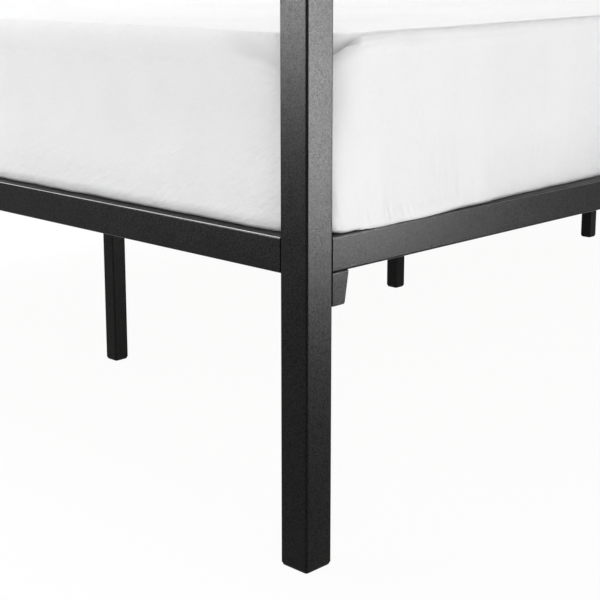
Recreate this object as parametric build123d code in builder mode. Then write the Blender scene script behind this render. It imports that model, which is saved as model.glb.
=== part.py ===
"""Queen size four poster canopy bed in square steel tube, with a slatted base and a mattress.

Millimetres. The origin is on the floor under the middle of the bed. +Z is up, +X runs across the
bed and +Y runs from its foot to its head.
"""

import os
from math import sqrt

from build123d import *

os.makedirs("parts", exist_ok=True)

# Overall sizes
bed_width = 1530  # over the outer faces of the posts
bed_length = 2086  # over the outer faces of the posts
bed_height = 1870  # floor to the top of the canopy
rail_top = 355  # floor to the top of the rails and of the slats
headboard_top = 1050  # floor to the top of the headboard rail

# Tube stock
post_size = 38
post_wall = 1.5
rail_height = 38
rail_depth = 25
rail_wall = 1.5
leg_size = 25
leg_wall = 1.2
bar_size = 19
bar_wall = 1.2
bend_radius = 1.0  # added to the wall for the outside corners of a tube

# Plastic glides plugged into the posts and legs
glide_thickness = 4
glide_plug_depth = 22
glide_corner_cut = 1.5
glide_edge_chamfer = 1
glide_wall = 2
rib_height = 1.5
rib_relief = 0.15  # how far the rib stands out of the plug

# Canopy corners: three-way castings that plug into a post and two canopy rails
stub_length = 40
stub_wall = 2.5
corner_roof = 3
plug_clearance = 0.2  # between any plug and the inside of its tube

# Corner brackets, folded from plate and welded to the posts under the side rails
bracket_top_length = 24
bracket_toe_length = 18
bracket_height = 35
bracket_plate = 3
bracket_cheek = 2.5
bracket_toe_radius = 3
bracket_fold_radius = 1.5

# Centre beam, its cradles and its legs
beam_height = 38
beam_width = 25
beam_end_gap = 1
cradle_length = 45
cradle_height = 35
cradle_cheek = 2.5
cradle_clearance = 0.5
cradle_chamfer = 14
leg_count = 3
leg_spacing = 690

# Slats, the ledges under their ends and the tapes that space them
slat_count = 13
slat_width = 72
slat_thickness = 12
slat_chamfer = 1.5
slat_end_gap = 3
slat_post_gap = 9
ledge_width = 20
ledge_drop = 22
ledge_thickness = 2
ledge_end_gap = 5
strap_width = 25
strap_thickness = 1.2
strap_inset = 330  # from the slats' ends to the middle of the tape

# Headboard
bar_count = 5

# Fasteners
bolt_diameter = 8
bolt_hole = 8.6
bolt_tip = 2.5  # thread showing past the nut
head_size = 13
head_height = 5.3
nut_size = 13
nut_thickness = 6.5
thread_clearance = 0.05

# Mattress
mattress_side_inset = 5
mattress_end_inset = 28
mattress_thickness = 210
mattress_edge = 24
mattress_post_gap = 6
cover_thickness = 4

# Places that the pieces share
post_outer_x = bed_width / 2
post_outer_y = bed_length / 2
post_inner_x = post_outer_x - post_size
post_inner_y = post_outer_y - post_size
post_x = post_outer_x - post_size / 2
post_y = post_outer_y - post_size / 2
canopy_bottom = bed_height - rail_height
canopy_middle = bed_height - rail_height / 2

side_rail_x = post_outer_x - rail_depth / 2
side_rail_inner_x = post_outer_x - rail_depth
side_rail_length = 2 * post_inner_y
end_rail_y = post_outer_y - rail_depth / 2
end_rail_inner_y = post_outer_y - rail_depth
end_rail_length = 2 * post_inner_x
rail_bottom = rail_top - rail_height
rail_middle = rail_top - rail_height / 2
headboard_middle = headboard_top - rail_height / 2
bar_pitch = end_rail_length / (bar_count + 1)

slat_bottom = rail_top - slat_thickness
slat_length = 2 * (side_rail_inner_x - slat_end_gap)
slats_reach = post_inner_y - slat_post_gap
slat_pitch = (2 * slats_reach - slat_width) / (slat_count - 1)
strap_x = slat_length / 2 - strap_inset

beam_bottom = slat_bottom - beam_height
beam_length = 2 * (end_rail_inner_y - cradle_cheek - beam_end_gap)
cradle_bottom = beam_bottom - bracket_plate
first_leg_y = -leg_spacing * (leg_count - 1) / 2
leg_places = [first_leg_y + number * leg_spacing for number in range(leg_count)]

bracket_bottom = rail_bottom - bracket_height
bracket_bolt_y = post_inner_y - (bracket_cheek + bracket_top_length) / 2

corners = {
    "foot_left": (-1, -1),
    "foot_right": (1, -1),
    "head_left": (-1, 1),
    "head_right": (1, 1),
}
sides = {"left": -1, "right": 1}
ends = {"foot": -1, "head": 1}


def draw_tube(width, height, wall):
    """Square tube profile with bent outside corners, in the current sketch."""
    RectangleRounded(width, height, wall + bend_radius)
    Rectangle(width - 2 * wall, height - 2 * wall, mode=Mode.SUBTRACT)


def draw_glide(x, y, size, wall):
    """Glide under a tube: a foot as wide as the tube, and a ribbed plug inside it."""
    with BuildSketch() as foot:
        with Locations((x, y)):
            Rectangle(size, size)
        chamfer(foot.vertices(), glide_corner_cut)
    base = extrude(foot.sketch, amount=glide_thickness)
    chamfer(base.faces().sort_by(Axis.Z)[0].edges(), glide_edge_chamfer)
    plug = size - 2 * (wall + plug_clearance)
    with BuildSketch(Plane.XY.offset(glide_thickness)) as skirt:
        with Locations((x, y)):
            Rectangle(plug, plug)
            Rectangle(plug - 2 * glide_wall, plug - 2 * glide_wall, mode=Mode.SUBTRACT)
    extrude(skirt.sketch, amount=glide_plug_depth)
    with BuildSketch(Plane.XY.offset(glide_thickness + glide_plug_depth / 2)) as rib:
        with Locations((x, y)):
            Rectangle(plug + 2 * rib_relief, plug + 2 * rib_relief)
            Rectangle(plug - glide_wall, plug - glide_wall, mode=Mode.SUBTRACT)
    extrude(rib.sketch, amount=rib_height)


# Posts
for corner, (across, along) in corners.items():
    with BuildPart() as post:
        with BuildSketch(Plane.XY.offset(glide_thickness)):
            with Locations((across * post_x, along * post_y)):
                draw_tube(post_size, post_size, post_wall)
        extrude(amount=canopy_bottom - glide_thickness)
    post.part.label = f"post_{corner}"
    export_step(post.part, f"parts/{post.part.label}.step")

# Glides under the posts
for corner, (across, along) in corners.items():
    with BuildPart() as glide:
        draw_glide(across * post_x, along * post_y, post_size, post_wall)
    glide.part.label = f"glide_{corner}"
    export_step(glide.part, f"parts/{glide.part.label}.step")

# Canopy corners: a block on top of the post with hollow stubs down, inwards and along the bed
post_stub = post_size - 2 * (post_wall + plug_clearance)
rail_stub_width = rail_depth - 2 * (rail_wall + plug_clearance)
rail_stub_height = rail_height - 2 * (rail_wall + plug_clearance)
stub_reach = stub_length + post_size - post_stub / 2 - post_size / 2 + stub_wall
for corner, (across, along) in corners.items():
    post_place = (across * post_x, along * post_y)
    end_rail_place = (along * end_rail_y, canopy_middle)
    side_rail_place = (across * side_rail_x, canopy_middle)
    with BuildPart() as canopy_corner:
        with BuildSketch(Plane.XY.offset(canopy_bottom)):
            with Locations(post_place):
                RectangleRounded(post_size, post_size, post_wall + bend_radius)
        extrude(amount=rail_height)
        with BuildSketch(Plane.XY.offset(canopy_bottom)):
            with Locations(post_place):
                Rectangle(post_stub, post_stub)
        extrude(amount=-stub_length)
        with BuildSketch(Plane.YZ.offset(across * post_inner_x)):
            with Locations(end_rail_place):
                Rectangle(rail_stub_width, rail_stub_height)
        extrude(amount=-across * stub_length)
        with BuildSketch(Plane.XZ.offset(-along * post_inner_y)):
            with Locations(side_rail_place):
                Rectangle(rail_stub_width, rail_stub_height)
        extrude(amount=along * stub_length)
        with BuildSketch(Plane.XY.offset(canopy_bottom - stub_length)):
            with Locations(post_place):
                Rectangle(post_stub - 2 * stub_wall, post_stub - 2 * stub_wall)
        extrude(amount=stub_length + rail_height - corner_roof, mode=Mode.SUBTRACT)
        with BuildSketch(Plane.YZ.offset(across * (post_inner_x - stub_length))):
            with Locations(end_rail_place):
                Rectangle(rail_stub_width - 2 * stub_wall, rail_stub_height - 2 * stub_wall)
        extrude(amount=across * stub_reach, mode=Mode.SUBTRACT)
        with BuildSketch(Plane.XZ.offset(-along * (post_inner_y - stub_length))):
            with Locations(side_rail_place):
                Rectangle(rail_stub_width - 2 * stub_wall, rail_stub_height - 2 * stub_wall)
        extrude(amount=-along * stub_reach, mode=Mode.SUBTRACT)
    canopy_corner.part.label = f"canopy_corner_{corner}"
    export_step(canopy_corner.part, f"parts/{canopy_corner.part.label}.step")

# Canopy rails
for side, across in sides.items():
    with BuildPart() as canopy_side:
        with BuildSketch(Plane.XZ):
            with Locations((across * side_rail_x, canopy_middle)):
                draw_tube(rail_depth, rail_height, rail_wall)
        extrude(amount=side_rail_length / 2, both=True)
    canopy_side.part.label = f"canopy_rail_{side}"
    export_step(canopy_side.part, f"parts/{canopy_side.part.label}.step")

for end, along in ends.items():
    with BuildPart() as canopy_end:
        with BuildSketch(Plane.YZ):
            with Locations((along * end_rail_y, canopy_middle)):
                draw_tube(rail_depth, rail_height, rail_wall)
        extrude(amount=end_rail_length / 2, both=True)
    canopy_end.part.label = f"canopy_rail_{end}"
    export_step(canopy_end.part, f"parts/{canopy_end.part.label}.step")

# Foot and head rails, welded between the posts
for end, along in ends.items():
    with BuildPart() as end_rail:
        with BuildSketch(Plane.YZ):
            with Locations((along * end_rail_y, rail_middle)):
                draw_tube(rail_depth, rail_height, rail_wall)
        extrude(amount=end_rail_length / 2, both=True)
    end_rail.part.label = f"{end}_rail"
    export_step(end_rail.part, f"parts/{end_rail.part.label}.step")

# Side rails, drilled from below for the bracket bolts
for side, across in sides.items():
    with BuildPart() as side_rail:
        with BuildSketch(Plane.XZ):
            with Locations((across * side_rail_x, rail_middle)):
                draw_tube(rail_depth, rail_height, rail_wall)
        extrude(amount=side_rail_length / 2, both=True)
        with BuildSketch(Plane.XY.offset(rail_bottom)):
            with Locations(*[(across * side_rail_x, end * bracket_bolt_y) for end in (-1, 1)]):
                Circle(bolt_hole / 2)
        extrude(amount=rail_wall, mode=Mode.SUBTRACT)
    side_rail.part.label = f"side_rail_{side}"
    export_step(side_rail.part, f"parts/{side_rail.part.label}.step")

# Corner brackets: a heel against the post, a plate under the rail and two cheeks tapering to the toe
for corner, (across, along) in corners.items():
    heel_y = along * post_inner_y
    top_y = along * (post_inner_y - bracket_top_length)
    toe_y = along * (post_inner_y - bracket_toe_length)
    with BuildPart() as bracket:
        with BuildSketch(Plane.YZ.offset(across * side_rail_x)) as cheek:
            with BuildLine():
                Polyline(
                    (heel_y, rail_bottom),
                    (top_y, rail_bottom),
                    (toe_y, bracket_bottom),
                    (heel_y, bracket_bottom),
                    close=True,
                )
            make_face()
            lower_corners = cheek.vertices().group_by(Axis.Y)[0]
            toe = lower_corners.sort_by(Axis.X)[0 if along > 0 else -1]
            fillet(toe, bracket_toe_radius)
        extrude(amount=rail_depth / 2, both=True)
        fold_edges = bracket.edges().filter_by(Axis.Y).group_by(Axis.Z)[-1]
        fillet(fold_edges, bracket_fold_radius)
        inside_y = along * (post_inner_y - bracket_cheek - bracket_top_length / 2)
        with BuildSketch(Plane.XY.offset(bracket_bottom)):
            with Locations((across * side_rail_x, inside_y)):
                Rectangle(rail_depth - 2 * bracket_cheek, bracket_top_length)
        extrude(amount=bracket_height - bracket_plate, mode=Mode.SUBTRACT)
        with BuildSketch(Plane.XY.offset(rail_bottom)):
            with Locations((across * side_rail_x, along * bracket_bolt_y)):
                Circle(bolt_hole / 2)
        extrude(amount=-bracket_plate, mode=Mode.SUBTRACT)
    bracket.part.label = f"corner_bracket_{corner}"
    export_step(bracket.part, f"parts/{bracket.part.label}.step")

# Headboard: an upper rail between the head posts and upright bars on the head rail
with BuildPart() as headboard_rail:
    with BuildSketch(Plane.YZ):
        with Locations((end_rail_y, headboard_middle)):
            draw_tube(rail_depth, rail_height, rail_wall)
    extrude(amount=end_rail_length / 2, both=True)
headboard_rail.part.label = "headboard_rail"
export_step(headboard_rail.part, "parts/headboard_rail.step")

for number in range(bar_count):
    bar_x = (number + 1) * bar_pitch - end_rail_length / 2
    with BuildPart() as bar:
        with BuildSketch(Plane.XY.offset(rail_top)):
            with Locations((bar_x, end_rail_y)):
                draw_tube(bar_size, bar_size, bar_wall)
        extrude(amount=headboard_top - rail_height - rail_top)
    bar.part.label = f"headboard_bar_{number + 1}"
    export_step(bar.part, f"parts/{bar.part.label}.step")

# Centre beam, drilled from below for the bolts of its legs
with BuildPart() as beam:
    with BuildSketch(Plane.XZ):
        with Locations((0, beam_bottom + beam_height / 2)):
            draw_tube(beam_width, beam_height, rail_wall)
    extrude(amount=beam_length / 2, both=True)
    with BuildSketch(Plane.XY.offset(beam_bottom)):
        with Locations(*[(0, leg_y) for leg_y in leg_places]):
            Circle(bolt_hole / 2)
    extrude(amount=rail_wall, mode=Mode.SUBTRACT)
beam.part.label = "centre_beam"
export_step(beam.part, "parts/centre_beam.step")

# Cradles: open channels welded to the end rails, which the ends of the beam drop into
channel_width = beam_width + 2 * cradle_clearance
for end, along in ends.items():
    with BuildPart() as cradle:
        with BuildSketch(Plane.XY.offset(cradle_bottom)):
            with Locations((0, along * (end_rail_inner_y - cradle_length / 2))):
                Rectangle(channel_width + 2 * cradle_cheek, cradle_length)
        extrude(amount=cradle_height)
        nose_edges = cradle.edges().filter_by(Axis.X).group_by(Axis.Z)[-1].sort_by(Axis.Y)
        chamfer(nose_edges[0 if along > 0 else -1], cradle_chamfer)
        with BuildSketch(Plane.XY.offset(cradle_bottom + bracket_plate)):
            with Locations((0, along * (end_rail_inner_y - cradle_cheek - cradle_length / 2))):
                Rectangle(channel_width, cradle_length)
        extrude(amount=cradle_height, mode=Mode.SUBTRACT)
    cradle.part.label = f"beam_cradle_{end}"
    export_step(cradle.part, f"parts/{cradle.part.label}.step")

# Support legs: a tube closed by a drilled plate under the beam, and its glide
for number, leg_y in enumerate(leg_places):
    with BuildPart() as leg:
        with BuildSketch(Plane.XY.offset(glide_thickness)):
            with Locations((0, leg_y)):
                draw_tube(leg_size, leg_size, leg_wall)
        extrude(amount=beam_bottom - glide_thickness)
        with BuildSketch(Plane.XY.offset(beam_bottom)):
            with Locations((0, leg_y)):
                RectangleRounded(leg_size, leg_size, leg_wall + bend_radius)
                Circle(bolt_hole / 2, mode=Mode.SUBTRACT)
        extrude(amount=-bracket_plate)
    leg.part.label = f"support_leg_{number + 1}"
    export_step(leg.part, f"parts/{leg.part.label}.step")

    with BuildPart() as leg_glide:
        draw_glide(0, leg_y, leg_size, leg_wall)
    leg_glide.part.label = f"leg_glide_{number + 1}"
    export_step(leg_glide.part, f"parts/{leg_glide.part.label}.step")

# Slat ledges: angles welded inside the side rails
for side, across in sides.items():
    wall_x = across * side_rail_inner_x
    with BuildPart() as ledge:
        with BuildSketch(Plane.XZ):
            with BuildLine():
                Polyline(
                    (wall_x, slat_bottom),
                    (wall_x - across * ledge_width, slat_bottom),
                    (wall_x - across * ledge_width, slat_bottom - ledge_thickness),
                    (wall_x - across * ledge_thickness, slat_bottom - ledge_thickness),
                    (wall_x - across * ledge_thickness, slat_bottom - ledge_drop),
                    (wall_x, slat_bottom - ledge_drop),
                    close=True,
                )
            make_face()
        extrude(amount=side_rail_length / 2 - ledge_end_gap, both=True)
    ledge.part.label = f"slat_ledge_{side}"
    export_step(ledge.part, f"parts/{ledge.part.label}.step")

# Slats, with eased long edges
for number in range(slat_count):
    slat_y = number * slat_pitch + slat_width / 2 - slats_reach
    with BuildPart() as slat:
        with BuildSketch(Plane.YZ) as section:
            with Locations((slat_y, rail_top - slat_thickness / 2)):
                Rectangle(slat_width, slat_thickness)
            chamfer(section.vertices(), slat_chamfer)
        extrude(amount=slat_length / 2, both=True)
    slat.part.label = f"slat_{number + 1:02d}"
    export_step(slat.part, f"parts/{slat.part.label}.step")

# Tapes stapled under the slats
for side, across in sides.items():
    with BuildPart() as strap:
        with BuildSketch(Plane.XY.offset(slat_bottom)):
            with Locations((across * strap_x, 0)):
                Rectangle(strap_width, 2 * slats_reach)
        extrude(amount=-strap_thickness)
    strap.part.label = f"slat_strap_{side}"
    export_step(strap.part, f"parts/{strap.part.label}.step")

# Bolts pushed up from below into weld nuts: through the brackets into the side rails, and through
# the tops of the legs into the beam
bracket_bolts = [(x * side_rail_x, y * bracket_bolt_y) for x, y in corners.values()]
leg_bolts = [(0, leg_y) for leg_y in leg_places]
with BuildPart() as bolts:
    for tube_bottom, places in ((rail_bottom, bracket_bolts), (beam_bottom, leg_bolts)):
        with BuildSketch(Plane.XY.offset(tube_bottom - bracket_plate)):
            with Locations(*places):
                Circle(bolt_diameter / 2)
        extrude(amount=bracket_plate + rail_wall + nut_thickness + bolt_tip)
        with BuildSketch(Plane.XY.offset(tube_bottom - bracket_plate)):
            with Locations(*places):
                RegularPolygon(head_size / 2, 6, major_radius=False)
        extrude(amount=-head_height)
bolts.part.label = "bolts"
export_step(bolts.part, "parts/bolts.step")

with BuildPart() as weld_nuts:
    for tube_bottom, places in ((rail_bottom, bracket_bolts), (beam_bottom, leg_bolts)):
        with BuildSketch(Plane.XY.offset(tube_bottom + rail_wall)):
            with Locations(*places):
                Rectangle(nut_size, nut_size)
                Circle(bolt_diameter / 2 + thread_clearance, mode=Mode.SUBTRACT)
        extrude(amount=nut_thickness)
weld_nuts.part.label = "weld_nuts"
export_step(weld_nuts.part, "parts/weld_nuts.step")

# Mattress: a foam core in a fabric cover. Its upright corners are as round as it takes to pass the
# posts: an arc of this radius clears the post's inner corner by the gap.
mattress_width = bed_width - 2 * mattress_side_inset
mattress_length = bed_length - 2 * mattress_end_inset
overlap_x = max(post_size - mattress_side_inset, 0)
overlap_y = max(post_size - mattress_end_inset, 0)
reach = overlap_x + overlap_y + mattress_post_gap
corner_radius = reach + sqrt(reach**2 - overlap_x**2 - overlap_y**2 + mattress_post_gap**2)


def draw_mattress(inset):
    """Mattress block with cut edges in the current part, smaller by the inset on every face."""
    with BuildSketch(Plane.XY.offset(rail_top + inset)) as outline:
        RectangleRounded(
            mattress_width - 2 * inset, mattress_length - 2 * inset, corner_radius - inset
        )
    block = extrude(outline.sketch, amount=mattress_thickness - 2 * inset)
    chamfer(block.faces().filter_by(Axis.Z).edges(), mattress_edge - inset)


with BuildPart() as mattress_core:
    draw_mattress(cover_thickness)
mattress_core.part.label = "mattress_core"
export_step(mattress_core.part, "parts/mattress_core.step")

with BuildPart() as mattress_cover:
    draw_mattress(0)
    add(mattress_core.part, mode=Mode.SUBTRACT)
mattress_cover.part.label = "mattress_cover"
export_step(mattress_cover.part, "parts/mattress_cover.step")
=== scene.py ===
import math

import bmesh
import bpy
import numpy as np
from mathutils import Matrix, Vector


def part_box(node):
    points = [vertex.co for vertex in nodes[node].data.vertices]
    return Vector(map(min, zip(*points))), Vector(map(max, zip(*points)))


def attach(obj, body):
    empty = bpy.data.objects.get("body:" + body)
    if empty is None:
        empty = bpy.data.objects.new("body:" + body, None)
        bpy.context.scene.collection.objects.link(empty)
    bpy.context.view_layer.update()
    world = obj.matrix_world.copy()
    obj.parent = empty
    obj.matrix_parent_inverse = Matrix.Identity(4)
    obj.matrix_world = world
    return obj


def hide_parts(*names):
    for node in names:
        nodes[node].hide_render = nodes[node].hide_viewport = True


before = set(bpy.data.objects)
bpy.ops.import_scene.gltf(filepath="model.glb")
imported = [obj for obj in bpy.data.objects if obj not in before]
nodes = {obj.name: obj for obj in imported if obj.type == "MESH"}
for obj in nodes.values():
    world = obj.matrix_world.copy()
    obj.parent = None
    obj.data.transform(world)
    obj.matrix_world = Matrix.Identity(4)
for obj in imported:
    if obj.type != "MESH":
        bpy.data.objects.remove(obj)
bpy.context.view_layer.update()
print("bed frame loaded,", len(nodes), "nodes")

# low on one foot corner, with the rest of the bed running out of the view
cameraLook = {
    "place": (1.67588, -1.98594, 0.62752),
    "turn": 44.305,  # degrees from +Y towards -X
    "dip": 11.649,
    "sensor": 36,
    "lens": 81.25,
    "shift": -0.1,
    "clip": (0.05, 60),
}

cameraData = bpy.data.cameras.new("bedCamera")
camera = bpy.data.objects.new("bedCamera", cameraData)
bpy.context.scene.collection.objects.link(camera)
camera.location = cameraLook["place"]
camera.rotation_euler = (
    math.radians(90 - cameraLook["dip"]),
    0,
    math.radians(cameraLook["turn"]),
)
cameraData.sensor_width = cameraLook["sensor"]
cameraData.lens = cameraLook["lens"]
cameraData.shift_y = cameraLook["shift"]
cameraData.clip_start, cameraData.clip_end = cameraLook["clip"]
bpy.context.scene.camera = camera
bpy.context.scene.view_settings.view_transform = "Standard"
print("camera set")

fullTurn = 6.283  # of a sine wave, in radians


# One socket of a material. Sums written on it add Math nodes, node() adds any other node.
class Wire:
    def __init__(self, tree, socket):
        self.tree = tree
        self.socket = socket

    def node(self, kind, settings=None, out=0, **values):
        made = self.tree.nodes.new(kind)
        for name, setting in (settings or {}).items():
            if name == "stops":
                for stop, (place, colour) in zip(made.color_ramp.elements, setting):
                    stop.position = place
                    stop.color = (*colour, 1)
            else:
                setattr(made, name, setting)
        for name, value in values.items():
            inlet = made.inputs[int(name[1:]) if name[1:].isdigit() else name.replace("_", " ")]
            if isinstance(value, Wire):
                self.tree.links.new(value.socket, inlet)
            else:
                inlet.default_value = value
        return Wire(self.tree, made.outputs[out])  # an outlet's number or its name

    def maths(self, operation, first, second=0.0):
        return self.node("ShaderNodeMath", {"operation": operation}, i0=first, i1=second)

    def __add__(self, other):
        return self.maths("ADD", self, other)

    def __radd__(self, other):
        return self.maths("ADD", other, self)

    def __sub__(self, other):
        return self.maths("SUBTRACT", self, other)

    def __rsub__(self, other):
        return self.maths("SUBTRACT", other, self)

    def __mul__(self, other):
        return self.maths("MULTIPLY", self, other)

    def __rmul__(self, other):
        return self.maths("MULTIPLY", other, self)

    def __pow__(self, other):
        return self.maths("POWER", self, other)

    def __rpow__(self, other):
        return self.maths("POWER", other, self)

    def least(self, other):
        return self.maths("MINIMUM", self, other)

    def most(self, other):
        return self.maths("MAXIMUM", self, other)

    # 0 at low, 1 at high, and no further
    def between(self, low, high):
        return self.node(
            "ShaderNodeMapRange", {"interpolation_type": "SMOOTHSTEP"},
            Value=self, From_Min=low, From_Max=high,
        )

    # cloudy values round 0.5, with cells of that size in metres
    def clouds(self, size, detail=2.0, rough=0.5):
        return self.node(
            "ShaderNodeTexNoise", Vector=self, Scale=1 / size, Detail=detail, Roughness=rough
        )

    def scaled(self, scale, turn=(0, 0, 0)):
        rotation = tuple(math.radians(a) for a in turn)
        return self.node("ShaderNodeMapping", Vector=self, Scale=scale, Rotation=rotation)

    def axis(self, letter):
        return self.node("ShaderNodeSeparateXYZ", out="XYZ".index(letter), Vector=self)

    def size(self):
        return self.maths("ABSOLUTE", self)

    # goes up and down once in every gap
    def wave(self, gap):
        return self.maths("SINE", self * (fullTurn / gap))

    # goes from one colour to the other as this value goes from 0 to 1
    def tint(self, dark, pale):
        return self.node("ShaderNodeValToRGB", {"stops": [(0.0, dark), (1.0, pale)]}, Fac=self)

    # this colour, with another one over it by a share from 0 to 1
    def mixed(self, share, other):
        return self.node(
            "ShaderNodeMix", {"data_type": "RGBA"}, out=2, i0=share, i6=self, i7=(*other, 1)
        )


def startFinish(name):
    material = bpy.data.materials.new(name)
    material.use_nodes = True
    tree = material.node_tree
    tree.nodes.clear()
    coordinates = tree.nodes.new("ShaderNodeTexCoord")
    return material, Wire(tree, coordinates.outputs["Object"])


# Joins a finish's colour, roughness and relief to its shader, and sets what else it takes.
def closeFinish(place, colour, roughness, relief, depth, strength, **others):
    tree = place.tree
    shader = tree.nodes.new("ShaderNodeBsdfPrincipled")
    for name, value in others.items():
        inlet = shader.inputs[name.replace("_", " ")]
        if isinstance(value, Wire):
            tree.links.new(value.socket, inlet)
        else:
            inlet.default_value = value
    tree.links.new(colour.socket, shader.inputs["Base Color"])
    tree.links.new(roughness.socket, shader.inputs["Roughness"])
    bump = place.node("ShaderNodeBump", Height=relief, Strength=strength, Distance=depth)
    tree.links.new(bump.socket, shader.inputs["Normal"])
    output = tree.nodes.new("ShaderNodeOutputMaterial")
    tree.links.new(shader.outputs["BSDF"], output.inputs["Surface"])


powderCoat = {
    "dark": (0.0006, 0.0006, 0.0006),
    "pale": (0.0066, 0.0062, 0.0058),
    # painted highlight: the near-white colour put on the bars' upper edges
    "wearAndPaintedHighlight": (0.9, 0.9, 0.88),
    "grainSize": 0.0013,
    "peelSize": 0.004,
    "handledSize": 0.045,
    "driftSize": 0.35,
    "depth": 0.00036,
    "glint": 0.095,  # gloss of the coat's high grains
}


def makePowderCoat():
    material, place = startFinish("powderCoat")
    grain = place.clouds(powderCoat["grainSize"], 2.5, 0.6)
    peel = place.clouds(powderCoat["peelSize"], 1.0)
    drift = place.clouds(powderCoat["driftSize"])
    handled = place.clouds(powderCoat["handledSize"], 3.0, 0.6)
    shade = (grain * 0.9 + drift * 0.25 + handled * 0.2 - 0.175).between(0.3, 0.7)
    # painted highlight: the upper edges of the bars are painted near-white where light would catch
    # them, most of all those along the ends of the bed
    facing = place.node("ShaderNodeTexCoord", out="Normal")
    upwards = facing.axis("Z")
    sideways = facing.axis("X").size().between(0.15, 0.45)
    edge = upwards.between(0.46, 0.6) * (1 - upwards.between(0.69, 0.81))
    wearAndPaintedHighlight = edge * (handled * 0.5 + 0.6) * (1 - sideways * 0.8)
    colour = shade.tint(powderCoat["dark"], powderCoat["pale"]).mixed(
        wearAndPaintedHighlight.least(1.0), powderCoat["wearAndPaintedHighlight"]
    )
    roughness = 0.19 + grain * 0.2 + handled * 0.06
    relief = grain * 0.8 + peel * 0.3
    closeFinish(
        place, colour, roughness, relief, depth=powderCoat["depth"], strength=0.55,
        Metallic=0.0, Specular_IOR_Level=0.05,
        Coat_Weight=grain.between(0.38, 0.62) * powderCoat["glint"], Coat_Roughness=0.3,
    )
    return material


glidePlastic = {
    "dark": (0.002, 0.002, 0.002),
    "pale": (0.008, 0.008, 0.008),
    "pitSize": 0.0009,
    "scuffSize": 0.009,
    "scuffHeight": 0.004,
}


def makeGlidePlastic():
    material, place = startFinish("glidePlastic")
    pits = place.clouds(glidePlastic["pitSize"])
    scratched = place.scaled((1, 1, 6), turn=(0, 0, 20))
    scuffs = scratched.clouds(glidePlastic["scuffSize"], 4.0, 0.7).between(0.55, 0.8)
    wear = scuffs * (1 - place.axis("Z").between(0.0, glidePlastic["scuffHeight"]))
    colour = (pits * 0.6 + wear * 0.8).tint(glidePlastic["dark"], glidePlastic["pale"])
    roughness = 0.5 + pits * 0.16 + wear * 0.15
    closeFinish(
        place, colour, roughness, pits, depth=0.00012, strength=0.4, Specular_IOR_Level=0.08
    )
    return material


pineWood = {
    "early": (0.71, 0.52, 0.31),
    "late": (0.50, 0.30, 0.14),
    "knot": (0.19, 0.085, 0.035),
    "ringGap": 0.011,
    "slatGap": 0.1594,  # from one slat to the next
    "slatShift": (0.731, 0.377, 0.613),  # from one slat's stretch of the log to the next one's
}


# Grain runs along X; each slat takes its own stretch of the log by its place along the bed.
def makePineWood():
    material, place = startFinish("pineWood")
    slat = place.maths("FLOOR", place.axis("Y") * (1 / pineWood["slatGap"]) + 0.5)
    shiftX, shiftY, shiftZ = pineWood["slatShift"]
    shift = place.node("ShaderNodeCombineXYZ", X=slat * shiftX, Y=slat * shiftY, Z=slat * shiftZ)
    log = place.node("ShaderNodeVectorMath", {"operation": "ADD"}, i0=place, i1=shift)
    bend = log.scaled((0.6, 4, 4)).clouds(0.16)
    knotCells = log.node(
        "ShaderNodeTexVoronoi", {"feature": "F1"}, Vector=log.scaled((3.0, 10.0, 4.0)), Scale=1.0
    )
    knot = 1 - knotCells.between(0.10, 0.17)
    swirl = 1 - knotCells.between(0.10, 0.45)
    rings = (log.axis("Y") + bend * 0.055 + swirl * 0.02).wave(pineWood["ringGap"])
    late = (rings * 0.5 + 0.5) ** 2.6
    fibre = log.scaled((14, 600, 600)).clouds(1.0, 3.0, 0.65)
    pores = log.scaled((60, 1400, 1400)).clouds(1.0).between(0.58, 0.75)
    tone = late * 0.62 + fibre * 0.34 + log.clouds(0.3, 1.0) * 0.25 - 0.12
    colour = tone.tint(pineWood["early"], pineWood["late"]).mixed(knot * 0.85, pineWood["knot"])
    roughness = 0.56 + fibre * 0.14 - late * 0.06
    relief = fibre * 0.5 - late * 0.25 - pores * 0.35 - knot * 0.3
    closeFinish(
        place, colour, roughness, relief, depth=0.0004, strength=0.5, Specular_IOR_Level=0.4
    )
    return material


slatTape = {
    "dark": (0.035, 0.035, 0.036),
    "pale": (0.095, 0.095, 0.1),
    "ribGap": 0.0016,
    "fuzzSize": 0.0012,
}


def makeSlatTape():
    material, place = startFinish("slatTape")
    across = place.axis("X").wave(slatTape["ribGap"])
    along = place.axis("Y").wave(slatTape["ribGap"] * 1.3)
    weave = across * along * 0.5 + 0.5
    fuzz = place.clouds(slatTape["fuzzSize"], 3.0, 0.7)
    colour = (weave * 0.6 + fuzz * 0.5 - 0.05).tint(slatTape["dark"], slatTape["pale"])
    roughness = 0.72 + fuzz * 0.2
    relief = weave * 0.8 + fuzz * 0.4
    closeFinish(
        place, colour, roughness, relief, depth=0.0004, strength=0.7,
        Sheen_Weight=0.25, Sheen_Roughness=0.5,
    )
    return material


boltBlack = {
    "dark": (0.012, 0.012, 0.013),
    "pale": (0.05, 0.048, 0.046),
    "grainSize": 0.0007,
    "rubbedSize": 0.004,
    "threadGap": 0.00125,
    # the bolts' shanks start at one of two heights: at the brackets and at the legs
    "shankStarts": ((0.314, 0.3145), (0.302, 0.303)),
}


def makeBoltBlack():
    material, place = startFinish("boltBlack")
    grain = place.clouds(boltBlack["grainSize"], 3.0, 0.6)
    wearAndPaintedHighlight = place.clouds(boltBlack["rubbedSize"], 3.0, 0.6).between(0.5, 0.75)
    high = place.axis("Z")
    thread = high.wave(boltBlack["threadGap"])
    upper, lower = boltBlack["shankStarts"]
    shank = high.between(*upper) * 0.5 + high.between(*lower) * 0.5
    colour = (grain * 0.5 + wearAndPaintedHighlight * 0.6).tint(boltBlack["dark"], boltBlack["pale"])
    roughness = 0.36 + grain * 0.16 - wearAndPaintedHighlight * 0.08
    relief = grain * 0.3 + thread * shank * 0.8
    closeFinish(place, colour, roughness, relief, depth=0.0003, strength=0.5, Metallic=0.85)
    return material


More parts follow.
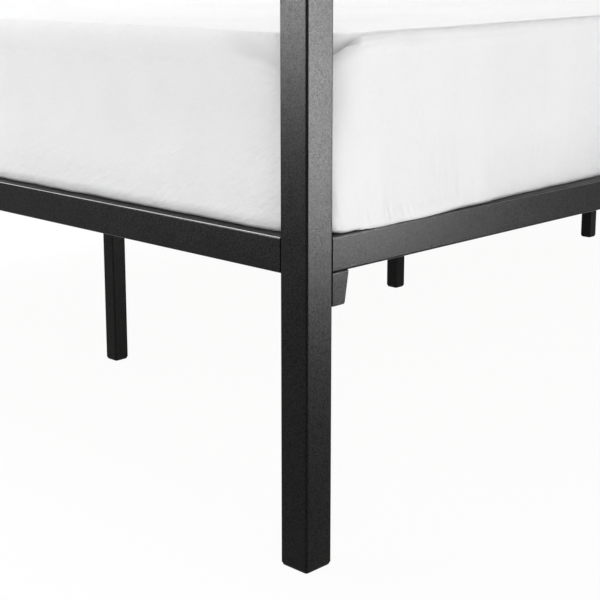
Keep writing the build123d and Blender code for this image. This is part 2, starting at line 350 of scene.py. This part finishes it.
zincPlate = {
    "dark": (0.42, 0.42, 0.39),
    "pale": (0.70, 0.70, 0.68),
    "spanglesInMetre": 900.0,
    "filmSize": 0.003,
}


def makeZincPlate():
    material, place = startFinish("zincPlate")
    spangle = place.node(
        "ShaderNodeTexVoronoi", {"feature": "F1"}, Vector=place, Scale=zincPlate["spanglesInMetre"]
    )
    film = place.clouds(zincPlate["filmSize"], 3.0, 0.6)
    colour = (spangle * 0.5 + film * 0.6 - 0.1).tint(zincPlate["dark"], zincPlate["pale"])
    roughness = 0.3 + film * 0.2
    closeFinish(place, colour, roughness, spangle, depth=0.0001, strength=0.3, Metallic=1.0)
    return material


coverKnit = {
    "shade": (0.80, 0.80, 0.805),
    "white": (0.91, 0.91, 0.91),
    "folded": (0.1, 0.1, 0.1),  # painted shade: the cloth is painted grey deep in a fold, where shade falls
    "stitch": 0.0022,
    "fuzzSize": 0.0015,
    "softSize": 0.07,  # of the small unevenness, and of the broad one
    "broadSize": 0.32,
    "puckerLong": 0.02,
    "puckerShort": 0.0075,
    "pleatFade": (0.37, 0.455),  # heights between which the pleats die out
    "sideStart": (0.70, 0.74),  # how far from the middle the long sides start
}


# Smooth white cover: a fine knit, soft slanting puckers, small pleats over the side rails, and
# painted shade in the folds of the top panel's edge.
def makeCoverKnit():
    material, place = startFinish("coverKnit")
    high = place.axis("Z")
    across = place.axis("X")
    along = place.axis("Y")
    wales = (across + along).wave(coverKnit["stitch"])
    courses = (high + (across - along) * 0.5).wave(coverKnit["stitch"] * 0.8)
    knit = wales * courses * 0.5 + 0.5
    fuzz = place.clouds(coverKnit["fuzzSize"], 3.0, 0.6)
    # small slanting puckers, strongest on the ends
    around = across + along
    onEnd = 1 - across.size().between(0.70, 0.745) * 0.6
    slanting = place.node(
        "ShaderNodeCombineXYZ",
        X=(around + high * 0.55) * (1 / coverKnit["puckerLong"]),
        Y=(high - around * 0.55) * (1 / coverKnit["puckerShort"]),
        Z=(across - along) * (1 / coverKnit["puckerLong"]),
    )
    pucker = slanting.clouds(1.0, 2.0, 0.55) * onEnd
    soft = place.clouds(coverKnit["softSize"])
    broad = place.clouds(coverKnit["broadSize"], 1.0)
    # upright pleats low on the long sides
    low = 1 - high.between(*coverKnit["pleatFade"])
    longSide = across.size().between(*coverKnit["sideStart"])
    pleat = place.scaled((62, 62, 9)).clouds(1.0, 1.5, 0.5).between(0.52, 0.8) * longSide
    shade = (broad * 0.35 + soft * 0.25 + knit * 0.15 + fuzz * 0.3 + 0.05).between(0.15, 0.75)
    # painted shade: each point's fold shade from the top panel darkens the colour towards grey
    fold = place.node("ShaderNodeAttribute", {"attribute_name": "fold"}, out=2)
    colour = shade.tint(coverKnit["shade"], coverKnit["white"]).mixed(fold, coverKnit["folded"])
    relief = (
        knit * 0.05 + fuzz * 0.05 + pucker * 1.0 + soft * 1.1 + broad * 0.8 - pleat * low * 0.8
    )
    roughness = 0.82 + fuzz * 0.12
    closeFinish(
        place, colour, roughness, relief, depth=0.0028, strength=0.5,
        Sheen_Weight=0.12, Sheen_Roughness=0.5, Specular_IOR_Level=0.25,
    )
    return material


finishes = {
    "powderCoat": makePowderCoat(),
    "glidePlastic": makeGlidePlastic(),
    "pineWood": makePineWood(),
    "slatTape": makeSlatTape(),
    "boltBlack": makeBoltBlack(),
    "zincPlate": makeZincPlate(),
    "coverKnit": makeCoverKnit(),
}

finishOf = (
    ("glide_", "glidePlastic"),
    ("leg_glide_", "glidePlastic"),
    ("slat_strap_", "slatTape"),
    ("slat_ledge_", "powderCoat"),
    ("slat_", "pineWood"),
    ("bolts", "boltBlack"),
    ("weld_nuts", "zincPlate"),
    ("mattress_", "coverKnit"),
)
for name, part in nodes.items():
    finish = next((f for start, f in finishOf if name.startswith(start)), "powderCoat")
    for materialSlot in part.material_slots:
        materialSlot.material = finishes[finish]
print("finishes put on", len(nodes), "nodes")


def selectOnly(piece):
    bpy.ops.object.select_all(action="DESELECT")
    piece.select_set(True)
    bpy.context.view_layer.objects.active = piece


# In edit mode: selects only the edges or faces that pass the test.
def pick(piece, kind, test):
    bpy.ops.mesh.select_mode(type={"edges": "EDGE", "faces": "FACE"}[kind])
    bpy.ops.mesh.select_all(action="DESELECT")
    mesh = bmesh.from_edit_mesh(piece.data)
    for element in getattr(mesh, kind):
        if test(element):
            element.select_set(True)
    mesh.select_flush_mode()
    bmesh.update_edit_mesh(piece.data)


def addBlock(name, low, high):
    bpy.ops.mesh.primitive_cube_add(size=1, location=(Vector(low) + Vector(high)) / 2)
    block = bpy.context.object
    block.name = block.data.name = name
    block.scale = Vector(high) - Vector(low)
    bpy.ops.object.transform_apply(location=True, rotation=True, scale=True)
    return block


def isUpright(edge):
    a, b = (v.co for v in edge.verts)
    return abs(a.z - b.z) > 1e-4 and (a.xy - b.xy).length < 1e-5


def isAtHeight(element, z):
    return all(abs(v.co.z - z) < 1e-5 for v in element.verts)


# An edge at that height where a flat face meets an upright one.
def isRim(edge, z):
    return isAtHeight(edge, z) and sum(abs(f.normal.z) < 0.5 for f in edge.link_faces) == 1


def applyModifier(piece, kind, **settings):
    modifier = piece.modifiers.new(kind.lower(), kind)
    for name, value in settings.items():
        setattr(modifier, name, value)
    selectOnly(piece)
    bpy.ops.object.modifier_apply(modifier=modifier.name)


def getPoints(piece):
    points = np.zeros(len(piece.data.vertices) * 3)
    piece.data.vertices.foreach_get("co", points)
    return points.reshape(-1, 3)


def setPoints(piece, points):
    piece.data.vertices.foreach_set("co", points.ravel())
    piece.data.update()


# Swells a closed form as a stuffed cover does, moving no point further than the cap.
def swell(piece, pressure, cap):
    frames = 20
    rest = getPoints(piece)
    selectOnly(piece)
    cloth = piece.modifiers.new("cloth", "CLOTH")
    cloth.settings.use_pressure = True
    cloth.settings.uniform_pressure_force = pressure
    cloth.settings.effector_weights.gravity = 0
    cloth.settings.quality = 5
    cloth.point_cache.frame_start = 1
    cloth.point_cache.frame_end = frames
    for number in range(1, frames + 1):
        bpy.context.scene.frame_set(number)
    bpy.ops.object.modifier_apply(modifier=cloth.name)
    bpy.context.scene.frame_set(1)
    moved = getPoints(piece) - rest
    length = np.linalg.norm(moved, axis=1, keepdims=True)
    setPoints(piece, rest + moved * np.minimum(1, cap / np.maximum(length, 1e-9)))


# Goes gently from 0 at the low place to 1 at the high one.
def smoothStep(value, low, high):
    t = np.clip((value - low) / (high - low), 0, 1)
    return t * t * (3 - 2 * t)


# The same the other way: from 1 at the low place to 0 at the high one.
def smoothFall(value, low, high):
    return 1 - smoothStep(value, low, high)


# How far a slope comes down from the far place to the near one.
def slopeFall(value, steepness, near, far):
    return steepness * (far - np.clip(value, near, far))


# Pairs called zone are the two places between which something fades in or out.
mattressShape = {
    "cornerRadius": 0.084,
    "bodyTop": 0.5548,  # height of the body's shoulder under the top panel
    "floorRoom": 0.0005,  # how far over the rails the body's block starts
    "topRoom": 0.002,  # how far under bodyTop it ends
    "shoulder": 0.014,
    "lowerEdge": 0.005,
    "voxel": 0.018,
    "pressure": 4.0,
    "swellRoom": 0.004,
    "edgeZone": (0.02, 0.07),  # how far inside the outline the sides are reshaped
    "stretchZone": (0.03, 0.09),  # how far down the body is stretched to reach bodyTop
    "squareSize": 0.026,  # depth over which a round edge is made squarer
    "shoulderPower": 5.0,  # how square the edges get: 2 is round
    "lowerPower": 12.0,
    "cornerPower": 4.0,
    "cornerZone": (0.06, 0.11),  # how far under bodyTop the corners fill out
    "postRoom": 0.003,  # between the body and the posts
    "postBlend": 0.003,  # how softly they hold it back
    # how far the shoulder lies lower along the ends, and at the ends' corners
    "endFall": 0.012,
    "cornerFall": 0.037,
    "cornerFallZone": (0.06, 0.16),
    "cornerFallPower": 0.6,
    # the same on the long sides near the ends, and how steeply it goes down there
    "sideFall": 0.0037,
    "sideFallZone": (0.075, 0.125),
    "sideSlope": 0.58,
    "sideSlopeZone": (0.026, 0.071),
    "sideShareZone": (0.1, 0.6),  # of the way round a corner, from the end to the side
    "upperZone": (0.004, 0.1),  # how far down the body's top moves with its shoulder
    "fallZone": (0.03, 0.11),  # how far inside the outline the shoulder falls
    "sink": 0.004,  # how much lower the body's top is inside its shoulder
    "sinkZone": (0.03, 0.08),
    # rises of the rim along the long sides: how high, from where and up to where
    "rises": ((0.0015, 0.02, 0.1), (0.0046, 0.084, 0.58)),
    "riseZone": (0.0, 0.45),
    # the lower edge is tucked in along the middle of the long sides, and spreads over the rails
    "floorGap": 0.0003,
    "tuck": 0.017,
    "tuckZone": (0.08, 0.6),
    "tuckHeightZone": (0.004, 0.075),
    "footSpread": 0.0165,
    "headSpread": 0.001,  # the head end stands against the headboard's bars
    "sideSpread": 0.0085,  # over the ends of the side rails
    "sideSpreadZone": (0.02, 0.26),
    "sideStartZone": (0.0, 0.05),  # from the ends' planes
    "spreadHeightZone": (0.01, 0.12),
    # waves of the side faces, and the slow swing of a whole face
    "longWave": 0.00049,
    "shortWave": 0.000385,
    "swing": 0.0022,
}

coverLow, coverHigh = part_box("mattress_cover")
halfX, halfY = coverHigh.x, coverHigh.y
coreX = halfX - mattressShape["cornerRadius"]
coreY = halfY - mattressShape["cornerRadius"]


# How far points are from the long sides' and the ends' planes.
def edgeDistances(points):
    return halfX - np.abs(points[:, 0]), halfY - np.abs(points[:, 1])


# For each point: its way outwards, how far inside the outline it is, and how far from a corner.
def outlineOf(points):
    radius = mattressShape["cornerRadius"]
    fromCore = np.abs(points[:, :2]) - (coreX, coreY)
    past = np.maximum(fromCore, 0)
    reach = np.linalg.norm(past, axis=1)
    inside = radius - np.where(reach > 1e-6, reach, fromCore.max(axis=1))
    outward = past * np.sign(points[:, :2]) / np.maximum(reach, 1e-6)[:, None]
    onSide = past[:, 0] > past[:, 1]
    fromCorner = np.maximum(-np.where(onSide, fromCore[:, 1], fromCore[:, 0]), 0)
    return outward, inside, fromCorner


# How far the body's shoulder lies under the rim: along the ends, deeper towards the corners,
# and only round the corners on the long sides.
def shoulderFall(points, outward):
    shape = mattressShape
    toSide, toEnd = edgeDistances(points)
    near, far = shape["cornerFallZone"]
    atCorner = slopeFall(toSide, 1 / (far - near), near, far) ** shape["cornerFallPower"]
    alongEnd = shape["endFall"] + (shape["cornerFall"] - shape["endFall"]) * atCorner
    alongSide = shape["sideFall"] * smoothFall(toEnd, *shape["sideFallZone"])
    alongSide += slopeFall(toEnd, shape["sideSlope"], *shape["sideSlopeZone"])
    sideShare = smoothStep(outward[:, 0] ** 2, *shape["sideShareZone"])
    return alongEnd + (alongSide - alongEnd) * sideShare


# The rim stands a little higher along the middle of the long sides.
def sideRise(points):
    toSide, toEnd = edgeDistances(points)
    rise = sum(high * smoothStep(toEnd, near, far) for high, near, far in mattressShape["rises"])
    return rise * smoothFall(toSide, *mattressShape["riseZone"])


# Small waves along a side face, up to twice as high low down, and a slow swing of the whole face.
def faceWaves(points, z, onLongSide, lower):
    shape = mattressShape
    along = points[:, 1] * onLongSide + points[:, 0] * (1 - onLongSide)
    waves = shape["longWave"] * np.sin(along * 47 + 1.3) * np.sin(along * 11 + 0.4)
    waves += shape["shortWave"] * np.sin(along * 83 + 2.1 + 5 * z) * np.sin(along * 19)
    swing = shape["swing"] * np.sin(along * 6.1 + 0.7) * np.sin((z - coverLow.z) * 15)
    return waves * (1 + lower) + swing


# How far it is from the round outline out to a nearly square one, and to the post at the corner.
def cornerRoom(points):
    radius, power = mattressShape["cornerRadius"], mattressShape["cornerPower"]
    postLow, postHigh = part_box("post_foot_right")
    postX, postY = postLow.x, -postHigh.y
    past = np.maximum(np.abs(points[:, :2]) - (coreX, coreY), 0)
    reach = np.maximum(np.linalg.norm(past, axis=1), 1e-6)
    alongX, alongY = np.maximum(past / reach[:, None], 1e-3).T
    square = radius * ((alongX**power + alongY**power) ** (-1 / power) - 1)
    toPost = np.maximum((postX - coreX) / alongX, (postY - coreY) / alongY) - radius
    return np.where(reach > 1e-5, square, 0), toPost - mattressShape["postRoom"]


# Makes a round edge squarer: depth is the distance from the flat face that meets the side there.
def squareUp(points, outward, inside, depth, power, upwards):
    size = mattressShape["squareSize"]
    # 1 on the two faces, and a little more where the swelling went past them
    u = np.clip(1 - inside / size, 0, 1.2)
    v = np.clip(1 - depth / size, 0, 1.2)
    squarer = np.maximum((u**power + v**power) ** (1 / power), 1e-6)
    grow = np.where((u > 0) & (v > 0), np.clip(np.hypot(u, v) / squarer, 1, 1.3), 1.0)
    step = (grow - 1) * size
    points[:, :2] += outward * (step * np.clip(u, 0, 1))[:, None]
    points[:, 2] += upwards * step * np.clip(v, 0, 1)


def makeMattressBody():
    shape = mattressShape
    room = shape["swellRoom"]
    low, high = coverLow.z + shape["floorRoom"], shape["bodyTop"] - shape["topRoom"]
    body = addBlock(
        "mattressBody", (-halfX + room, -halfY + room, low), (halfX - room, halfY - room, high)
    )
    bpy.ops.object.mode_set(mode="EDIT")
    pick(body, "edges", isUpright)
    bpy.ops.mesh.bevel(offset=shape["cornerRadius"] - room, offset_type="OFFSET", segments=8)
    pick(body, "edges", lambda e: isAtHeight(e, high))
    bpy.ops.mesh.bevel(offset=shape["shoulder"], offset_type="OFFSET", segments=3)
    pick(body, "edges", lambda e: isAtHeight(e, low))
    bpy.ops.mesh.bevel(offset=shape["lowerEdge"], offset_type="OFFSET", segments=3)
    bpy.ops.object.mode_set(mode="OBJECT")
    body.data.remesh_voxel_size = shape["voxel"]
    bpy.ops.object.voxel_remesh()
    print("mattress body remeshed,", len(body.data.polygons), "faces")
    swell(body, shape["pressure"], room * 0.9)  # the rest of the room stays free
    print("mattress body swelled")
    applyModifier(body, "SUBSURF", levels=1, render_levels=1)
    return body


# Gives the swelled body its shoulder, its squared edges and the way it lies over the rails.
def dressMattressBody(body):
    shape = mattressShape
    points = getPoints(body)
    outward, inside, fromCorner = outlineOf(points)
    z = points[:, 2]  # follows the points as they move
    atEdge = smoothFall(inside, *shape["edgeZone"])
    fromFace = inside - shape["swellRoom"] * 0.3  # the swelled faces are inside the outline
    onLongSide = outward[:, 0] ** 2
    fall = shoulderFall(points, outward)
    swelledTop = z.max()
    stretch = smoothFall(swelledTop - z, *shape["stretchZone"])
    points[:, 2] += (shape["bodyTop"] - swelledTop) * stretch
    squareUp(points, outward, fromFace, shape["bodyTop"] - z, shape["shoulderPower"], 1)
    # under the top panel the shoulder falls away at the corners
    upper = smoothFall(shape["bodyTop"] - z, *shape["upperZone"])
    points[:, 2] -= fall * upper * smoothFall(inside, *shape["fallZone"])
    points[:, 2] += sideRise(points) * upper
    points[:, 2] -= shape["sink"] * upper * smoothStep(inside, *shape["sinkZone"])
    # the lower edge is squared up where the cover stands on the rails
    squareUp(points, outward, fromFace, z - coverLow.z, shape["lowerPower"], -1)
    points[:, 2] = np.maximum(z, coverLow.z + shape["floorGap"])
    # along the middle of the long sides the lower edge is tucked in over the rails
    height = z - coverLow.z
    lower = smoothFall(height, *shape["tuckHeightZone"])
    tuck = shape["tuck"] * smoothStep(fromCorner, *shape["tuckZone"]) * lower * onLongSide
    # and it spreads out over the foot rail and the side rails' ends
    overEnd = np.where(points[:, 1] < 0, shape["footSpread"], shape["headSpread"])
    toEnd = edgeDistances(points)[1]
    overSide = shape["sideSpread"] * onLongSide * smoothStep(toEnd, *shape["sideStartZone"])
    overSide *= smoothFall(fromCorner, *shape["sideSpreadZone"])
    spread = overEnd * (1 - onLongSide) + overSide
    spread *= smoothFall(height, *shape["spreadHeightZone"])
    # the lower corners fill out, but no further than to the posts
    square, toPost = cornerRoom(points)
    square = square * smoothStep(shape["bodyTop"] - z, *shape["cornerZone"])
    push = faceWaves(points, z, onLongSide, lower) - tuck + spread + square
    push = (push + toPost - np.hypot(push - toPost, shape["postBlend"])) / 2
    points[:, :2] += outward * (push * atEdge)[:, None]
    setPoints(body, points)
    selectOnly(body)
    bpy.ops.object.shade_smooth()


topPanel = {
    "height": 0.5565,  # of its rim at the corners
    "skirt": 0.02,  # depth of the block that its edge is shaped from
    "border": 0.03,  # width of the row of faces inside the rim
    "rimRound": 0.0015,
    "columns": 24,
    "rows": 32,
    "layers": 5,
    "sortFrom": (3.137, 1.719, 0.913),  # a place that no two of its points are equally far from
    "pressure": 1.5,
    "swellRoom": 0.0012,
    # depth of the fold along the sides, how much deeper it is near the ends, and how steeply
    # it goes down at the corners
    "sideFold": 0.0033,
    "sideFoldMore": 0.0026,
    "sideFoldZone": (0.07, 0.135),
    "sideSlope": 0.66,
    "sideSlopeZone": (0.023, 0.068),
    # the same at the ends' corners
    "endFold": 0.024,
    "endFoldMore": 0.009,
    "endFoldZone": (0.07, 0.105),
    # along the ends the edge slopes: (inside the outline, below the rim) pairs that pull a curve
    "endEdge": ((0.0135, 0.0), (0.009, 0.005), (-0.001, 0.018), (0.0085, 0.044)),
    # of the folds: how far inside the outline their rim is, how far the cloth is drawn in, where
    # it comes out again over the body's shoulder, and how far down it goes from there
    "foldRim": 0.0025,
    "foldFoot": 0.0053,  # how much further in than the shoulder the edge ends
    "endDraw": 0.0085,
    "endShoulder": 0.0045,
    "endDrop": 0.032,
    "sideDraw": 0.006,
    "cornerDraw": 0.01,  # more round the corners
    "sideShoulder": 0.0035,
    "sideDrop": 0.022,
    # how dark the folds' painted shade is
    "endPaintedShade": 0.14,
    "sidePaintedShade": 0.22,
    "cornerPaintedShade": 0.36,  # more round the corners
    "paintedShadeStartZone": (0.05, 0.45),  # of the way from the rim to the edge's foot
    "paintedShadeEndZone": (0.52, 0.8),
    "middleZone": (0.105, 0.16),  # from the long sides in to where the ends have no fold
    "onSideZone": (0.15, 0.6),  # of the way round a corner, from the end to the side
    "cornerZone": (0.0035, 0.018),  # depths of the side's fold, from there to the corner
    "shapeZone": (0.0, 0.06),  # how far inside the outline the edge is shaped
    "waveZone": (0.3, 0.8),  # of the way down to where it follows the body's waves
    "crown": 0.007,
    "crownZone": (0.0, 0.35),
    "lazyWave": 0.0014,  # unevenness of the flat top
    "smallWave": 0.0007,
}


# A curve pulled by pairs of numbers: how far inside the outline and below the rim it is, on its
# way from 0 at the rim to 1 at its foot.
def edgeCurve(pairs, way):
    pieces = (len(pairs) - 1) // 3
    spots = []
    for side in (0, 1):
        spot = pairs[0][side] + 0 * way
        for number in range(pieces):
            t = np.clip(way * pieces - number, 0, 1)
            start, pull, draw, end = (pair[side] for pair in pairs[3 * number:3 * number + 4])
            spot = spot + 3 * (1 - t) ** 2 * t * (pull - start)
            spot = spot + 3 * (1 - t) * t**2 * (draw - start) + t**3 * (end - start)
        spots.append(spot)
    return spots


# From the rim down and in to a fold, then out again over the shoulder of the body.
def foldEdge(way, deep, draw, shoulder, drop):
    rim = topPanel["foldRim"]
    return edgeCurve((
        (rim, 0.0),
        (rim + draw * 0.1, deep * 0.3),
        (rim + draw, deep * 0.7),
        (rim + draw, deep),
        (rim + draw, deep + drop * 0.14),
        (shoulder, deep + drop * 0.36),
        (shoulder + topPanel["foldFoot"], deep + drop),
    ), way)


# How far the fold under the rim lies below it, for points of the long sides and of the ends.
def foldDepths(points):
    shape = topPanel
    toSide, toEnd = edgeDistances(points)
    atSide = shape["sideFold"] + shape["sideFoldMore"] * smoothFall(toEnd, *shape["sideFoldZone"])
    atSide += slopeFall(toEnd, shape["sideSlope"], *shape["sideSlopeZone"])
    atEnd = shape["endFold"] + shape["endFoldMore"] * smoothFall(toSide, *shape["endFoldZone"])
    return atSide, atEnd


# The edge of the top panel: how far inside the outline and below the rim, and how much painted
# shade it gets. It is of
# three kinds: along the middle of the ends, at the ends' corners and on the long sides.
def panelEdge(points, outward, way):
    shape = topPanel
    onSide = smoothStep(outward[:, 0] ** 2, *shape["onSideZone"])
    middle = smoothStep(edgeDistances(points)[0], *shape["middleZone"]) * (1 - onSide)
    atSide, atEnd = foldDepths(points)
    corner = smoothStep(atSide, *shape["cornerZone"])
    sideDraw = shape["sideDraw"] + shape["cornerDraw"] * corner
    sidePaintedShade = shape["sidePaintedShade"] + shape["cornerPaintedShade"] * corner
    slope = edgeCurve(shape["endEdge"], way)
    endFold = foldEdge(way, atEnd, shape["endDraw"], shape["endShoulder"], shape["endDrop"])
    sideFold = foldEdge(way, atSide, sideDraw, shape["sideShoulder"], shape["sideDrop"])
    shares = (middle, 1 - onSide - middle, onSide)
    inwards, below = (
        sum(share * edge[n] for share, edge in zip(shares, (slope, endFold, sideFold)))
        for n in (0, 1)
    )
    # painted shade: the cloth is darkened deep in each fold, as shade would fall there
    paintedShadeAmount = shares[1] * shape["endPaintedShade"] + shares[2] * sidePaintedShade
    paintedShadeAmount = paintedShadeAmount * smoothStep(way, *shape["paintedShadeStartZone"]) * smoothFall(way, *shape["paintedShadeEndZone"])
    return inwards, below, paintedShadeAmount


def makeTopPanel():
    shape = topPanel
    high, low = shape["height"], shape["height"] - shape["skirt"]
    panel = addBlock("mattressTop", (-halfX, -halfY, low), (halfX, halfY, high))
    bpy.ops.object.mode_set(mode="EDIT")
    pick(panel, "edges", isUpright)
    bpy.ops.mesh.bevel(offset=mattressShape["cornerRadius"], offset_type="OFFSET", segments=10)
    pick(panel, "faces", lambda f: abs(f.normal.z) > 0.9)
    bpy.ops.mesh.inset(thickness=shape["border"])
    pick(panel, "edges", lambda e: isRim(e, high))
    bpy.ops.mesh.bevel(offset=shape["rimRound"], offset_type="OFFSET", segments=3)
    cuts = [(0, -halfX + 2 * halfX * n / shape["columns"]) for n in range(1, shape["columns"])]
    cuts += [(1, -halfY + 2 * halfY * n / shape["rows"]) for n in range(1, shape["rows"])]
    cuts += [(2, low + shape["skirt"] * n / shape["layers"]) for n in range(1, shape["layers"])]
    for axis, place in cuts:
        bpy.ops.mesh.select_all(action="SELECT")
        bpy.ops.mesh.bisect(
            plane_co=[place if n == axis else 0 for n in range(3)],
            plane_no=[1 if n == axis else 0 for n in range(3)],
        )
    # in a fixed order, so that the panel swells the same way each time
    bpy.ops.mesh.select_all(action="SELECT")
    bpy.context.scene.cursor.location = shape["sortFrom"]
    bpy.ops.mesh.sort_elements(type="CURSOR_DISTANCE", elements={"VERT", "EDGE", "FACE"})
    bpy.ops.object.mode_set(mode="OBJECT")
    applyModifier(panel, "SUBSURF", levels=2, render_levels=2, subdivision_type="SIMPLE")
    swell(panel, shape["pressure"], shape["swellRoom"])
    print("mattress top swelled")
    return panel


# Draws the panel's edge in under the rim, marks the fold's painted shade there and makes the top
# uneven.
def dressTopPanel(panel):
    shape = topPanel
    high = shape["height"]
    points = getPoints(panel)
    outward, inside = outlineOf(points)[:2]
    way = np.clip((high - points[:, 2]) / shape["skirt"], 0, 1)
    inwards, below, paintedShadeAmount = panelEdge(points, outward, way)
    fold = panel.data.attributes.new("fold", "FLOAT", "POINT")
    fold.data.foreach_set("value", paintedShadeAmount)
    waves = faceWaves(points, high - below, outward[:, 0] ** 2, 0)
    inwards = inwards - waves * smoothStep(way, *shape["waveZone"])
    inwards = inwards * smoothFall(inside, *shape["shapeZone"])
    points[:, :2] -= outward * inwards[:, None]
    x, y = points[:, 0], points[:, 1]
    lazy = shape["lazyWave"] * np.sin(x * 7.3 + 1.1 * np.sin(y * 3.1)) * np.sin(y * 5.2 + 0.8)
    small = shape["smallWave"] * np.sin(x * 31 + y * 9) * np.sin(y * 27 - x * 6 + 1.7)
    crown = shape["crown"] * smoothStep(inside, *shape["crownZone"])
    crown += (lazy + small) * smoothStep(inside, *shape["shapeZone"])
    points[:, 2] = high - below + sideRise(points) + (1 - way) * crown
    setPoints(panel, points)
    selectOnly(panel)
    bpy.ops.object.shade_smooth_by_angle(angle=math.radians(60))


mattressBody = makeMattressBody()
dressMattressBody(mattressBody)
mattressTop = makeTopPanel()
dressTopPanel(mattressTop)
for piece in (mattressBody, mattressTop):
    piece.data.materials.clear()
    piece.data.materials.append(finishes["coverKnit"])
    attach(piece, "mattress")
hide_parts("mattress_cover", "mattress_core")
print("mattress made,", len(mattressBody.data.polygons) + len(mattressTop.data.polygons), "faces")


roundGlide = {
    "thickness": 0.004,
    "cornerRound": 0.0042,  # of the upright corners
    "edgeRound": 0.0039,  # of the lower edges
    "plugInset": 0.0025,
    "plugWall": 0.002,
    "plugDepth": 0.022,
}


# A foot with round lower edges, and the hollow plug that holds it in its tube.
def makeGlide(low, high):
    shape = roundGlide
    top = low.z + shape["thickness"]
    glide = addBlock("roundGlide", low, (high.x, high.y, top))
    bpy.ops.object.mode_set(mode="EDIT")
    pick(glide, "edges", isUpright)
    bpy.ops.mesh.bevel(offset=shape["cornerRound"], offset_type="OFFSET", segments=5)
    pick(glide, "edges", lambda e: isAtHeight(e, low.z))
    bpy.ops.mesh.bevel(offset=shape["edgeRound"], offset_type="OFFSET", segments=5)
    pick(glide, "faces", lambda f: isAtHeight(f, top))
    bpy.ops.mesh.inset(thickness=shape["plugInset"])
    bpy.ops.mesh.extrude_region_move(TRANSFORM_OT_translate={"value": (0, 0, shape["plugDepth"])})
    bpy.ops.mesh.inset(thickness=shape["plugWall"])
    bpy.ops.mesh.extrude_region_move(TRANSFORM_OT_translate={"value": (0, 0, -shape["plugDepth"])})
    bpy.ops.object.mode_set(mode="OBJECT")
    bpy.ops.object.shade_smooth_by_angle(angle=math.radians(35))
    glide.data.materials.append(finishes["glidePlastic"])
    return glide


# Each glide of a kind is a copy of the first, with its own mesh.
def makeGlides(nodeNames):
    low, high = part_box(nodeNames[0])
    first = makeGlide(low, high)
    for nodeName in nodeNames:
        mesh = first.data.copy()
        mesh.transform(Matrix.Translation(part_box(nodeName)[0] - low))
        glide = bpy.data.objects.new("round_" + nodeName, mesh)
        bpy.context.scene.collection.objects.link(glide)
        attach(glide, "frame")
        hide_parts(nodeName)
    bpy.data.objects.remove(first)


makeGlides([name for name in nodes if name.startswith("glide_")])
makeGlides([name for name in nodes if name.startswith("leg_glide_")])
print("glides made")


studio = {
    "sky": 0.28,  # light from all round
    "floorSize": 24,
    "floorShade": (0.97, 0.97, 0.97),
    "floorSeen": 0.95,  # how plain white it looks near the bed, where faint shadows show
    "floorFade": (1.6, 4.0),  # from the middle out to where all of it looks white
    "lamps": (
        # place, aimed at, width, height, watts
        ((1.96, 0.11, 0.47), (0.76, -1.02, 0.47), 0.24, 0.9, 77),
        ((-0.51, -2.32, 0.91), (0.75, -1.04, 0.7), 0.24, 0.95, 95),
        ((3.0, -3.5, 1.4), (0.5, -0.8, 0.45), 2.0, 1.6, 34),
        ((-1.5, -2.7, 1.4), (0.1, -1.0, 0.4), 1.6, 1.2, 12),
        ((3.8, -1.2, 1.7), (0.6, -0.4, 0.4), 2.0, 1.6, 34),
        ((-1.8, -0.6, 4.2), (-0.1, -0.2, 0.3), 3.0, 3.0, 130),
        ((-3.2, 3.6, 2.4), (-0.3, 0.6, 0.6), 2.0, 2.0, 60),
    ),
}


def whiteRays(tree):
    rays = tree.nodes.new("ShaderNodeLightPath")
    seen = Wire(tree, rays.outputs["Is Camera Ray"])
    return seen.most(Wire(tree, rays.outputs["Is Glossy Ray"])).most(
        Wire(tree, rays.outputs["Is Transmission Ray"])
    )


def makeWorld():
    world = bpy.data.worlds.new("studioSky")
    bpy.context.scene.world = world
    world.use_nodes = True
    tree = world.node_tree
    tree.nodes.clear()
    seen = whiteRays(tree)
    strength = seen * (1 - studio["sky"]) + studio["sky"]
    sky = seen.node("ShaderNodeBackground", Color=(1, 1, 1, 1), Strength=strength)
    output = tree.nodes.new("ShaderNodeOutputWorld")
    tree.links.new(sky.socket, output.inputs["Surface"])


def makeFloor():
    bpy.ops.mesh.primitive_circle_add(
        vertices=64, radius=studio["floorSize"], fill_type="NGON", location=(0, 0, 0)
    )
    floor = bpy.context.object
    floor.name = "studioFloor"
    material, place = startFinish("floorWhite")
    tree = material.node_tree
    fromMiddle = place.node("ShaderNodeVectorMath", {"operation": "LENGTH"}, out=1, i0=place)
    seen = whiteRays(tree)
    white = place.node("ShaderNodeEmission", Color=(1, 1, 1, 1), Strength=1.0)
    matt = place.node("ShaderNodeBsdfDiffuse", Color=(*studio["floorShade"], 1))
    farOut = fromMiddle.between(*studio["floorFade"])
    share = seen * (farOut * (1 - studio["floorSeen"]) + studio["floorSeen"])
    above = place.node("ShaderNodeMixShader", i0=share, i1=matt, i2=white)
    # nothing of the floor shows from below, so that the underside can be looked at
    below = place.node("ShaderNodeNewGeometry", out=6)
    clear = place.node("ShaderNodeBsdfTransparent")
    surface = place.node("ShaderNodeMixShader", i0=below, i1=above, i2=clear)
    output = tree.nodes.new("ShaderNodeOutputMaterial")
    tree.links.new(surface.socket, output.inputs["Surface"])
    floor.data.materials.append(material)


def makeLamps():
    for number, (place, target, width, height, watts) in enumerate(studio["lamps"]):
        data = bpy.data.lights.new(f"softBox{number + 1}", "AREA")
        data.shape = "RECTANGLE"
        data.size, data.size_y, data.energy = width, height, watts
        lamp = bpy.data.objects.new(data.name, data)
        bpy.context.scene.collection.objects.link(lamp)
        lamp.location = place
        lamp.rotation_euler = (Vector(target) - Vector(place)).to_track_quat("-Z", "Y").to_euler()
        lamp.visible_camera = False
        # the two narrow ones only show in the gloss of the steel
        lamp.visible_diffuse = width > 1


makeWorld()
makeFloor()
makeLamps()
print("studio set")

bpy.context.view_layer.update()
